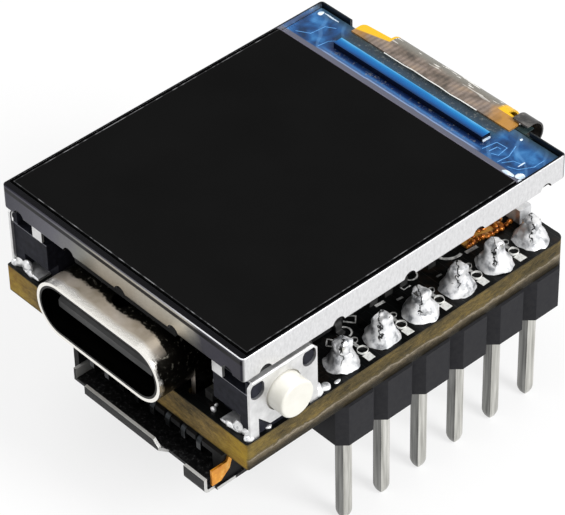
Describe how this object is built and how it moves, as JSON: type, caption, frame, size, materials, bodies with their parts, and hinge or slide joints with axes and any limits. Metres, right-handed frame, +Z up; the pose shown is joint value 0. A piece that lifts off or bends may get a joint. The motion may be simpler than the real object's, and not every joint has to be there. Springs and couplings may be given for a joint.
{
  "type": "lcd development board",
  "caption": "Small development board on two rows of header pins, with a display over it, a charging and data port, side push switches and a memory card socket.",
  "frame": {"origin": "on the floor plane at the tips of the header pins, under the middle of the outline", "axes": "+Z up, out of the display's picture face; +Y to the edge where the display's flex leaves; -Y to the edge with the port; +X to the right seen from the port's edge with the display up"},
  "size_m": [0.0192, 0.0238, 0.0156],
  "materials": {
    "board_laminate": "gloss",
    "header_plastic": "satin",
    "pin_metal": "polished",
    "solder": "satin",
    "frame_steel": "satin",
    "tray_plastic": "satin",
    "reflector": "polished",
    "clear_plastic": "gloss",
    "film_plastic": "satin",
    "polariser_plastic": "gloss",
    "display_glass": "gloss",
    "picture_face": "satin",
    "driver_silicon": "gloss",
    "flex_film": "satin",
    "dark_flex_film": "satin",
    "port_steel": "polished",
    "black_plastic": "satin",
    "gilt_metal": "polished",
    "contact_metal": "satin",
    "socket_steel": "satin",
    "capacitor_ceramic": "satin",
    "antenna_ceramic": "satin",
    "foam": "matte",
    "switch_plastic": "satin",
    "switch_steel": "satin",
    "plunger_plastic": "satin"
  },
  "bodies": {
    "board": {"circuit_board": "board_laminate", "right_header_insulator": "header_plastic", "left_header_insulator": "header_plastic", "right_header_pins": "pin_metal", "left_header_pins": "pin_metal", "right_header_solder": "solder", "left_header_solder": "solder", "display_frame": "frame_steel", "backlight_tray": "tray_plastic", "reflector_film": "reflector", "light_guide": "clear_plastic", "diffuser_films": "film_plastic", "rear_polariser": "polariser_plastic", "backlight_leds": "tray_plastic", "back_glass": "display_glass", "front_glass": "display_glass", "front_polariser": "picture_face", "driver_chip": "driver_silicon", "display_flex": "flex_film", "backlight_flex": "dark_flex_film", "port_shell": "port_steel", "port_core": "black_plastic", "port_contacts": "gilt_metal", "card_socket_shell": "socket_steel", "card_socket_housing": "black_plastic", "card_socket_contacts": "contact_metal", "card_socket_spring": "gilt_metal", "main_chip": "black_plastic", "crystal": "frame_steel", "regulator": "black_plastic", "regulator_leads": "solder", "chip_capacitors": "capacitor_ceramic", "capacitor_ends": "solder", "chip_resistors": "black_plastic", "resistor_ends": "solder", "chip_antenna": "antenna_ceramic", "antenna_ends": "solder", "switch_foam_pads": "foam", "port_foam_pad": "foam", "display_foam_block": "foam", "right_switch_body": "switch_plastic", "right_switch_cover": "switch_steel", "right_switch_dome": "frame_steel", "right_switch_terminals": "solder", "left_switch_body": "switch_plastic", "left_switch_cover": "switch_steel", "left_switch_dome": "frame_steel", "left_switch_terminals": "solder"},
    "right_plunger": {"right_switch_plunger": "plunger_plastic"},
    "left_plunger": {"left_switch_plunger": "plunger_plastic"}
  },
  "joints": [
    {"name": "right_plunger_press", "type": "slide", "parent": "board", "child": "right_plunger", "axis": [-1, 0, 0], "range_m": [0, 0.00025], "stiffness_N_per_m": 4000, "springref_m": -0.00005},
    {"name": "left_plunger_press", "type": "slide", "parent": "board", "child": "left_plunger", "axis": [1, 0, 0], "range_m": [0, 0.00025], "stiffness_N_per_m": 4000, "springref_m": -0.00005}
  ]
}
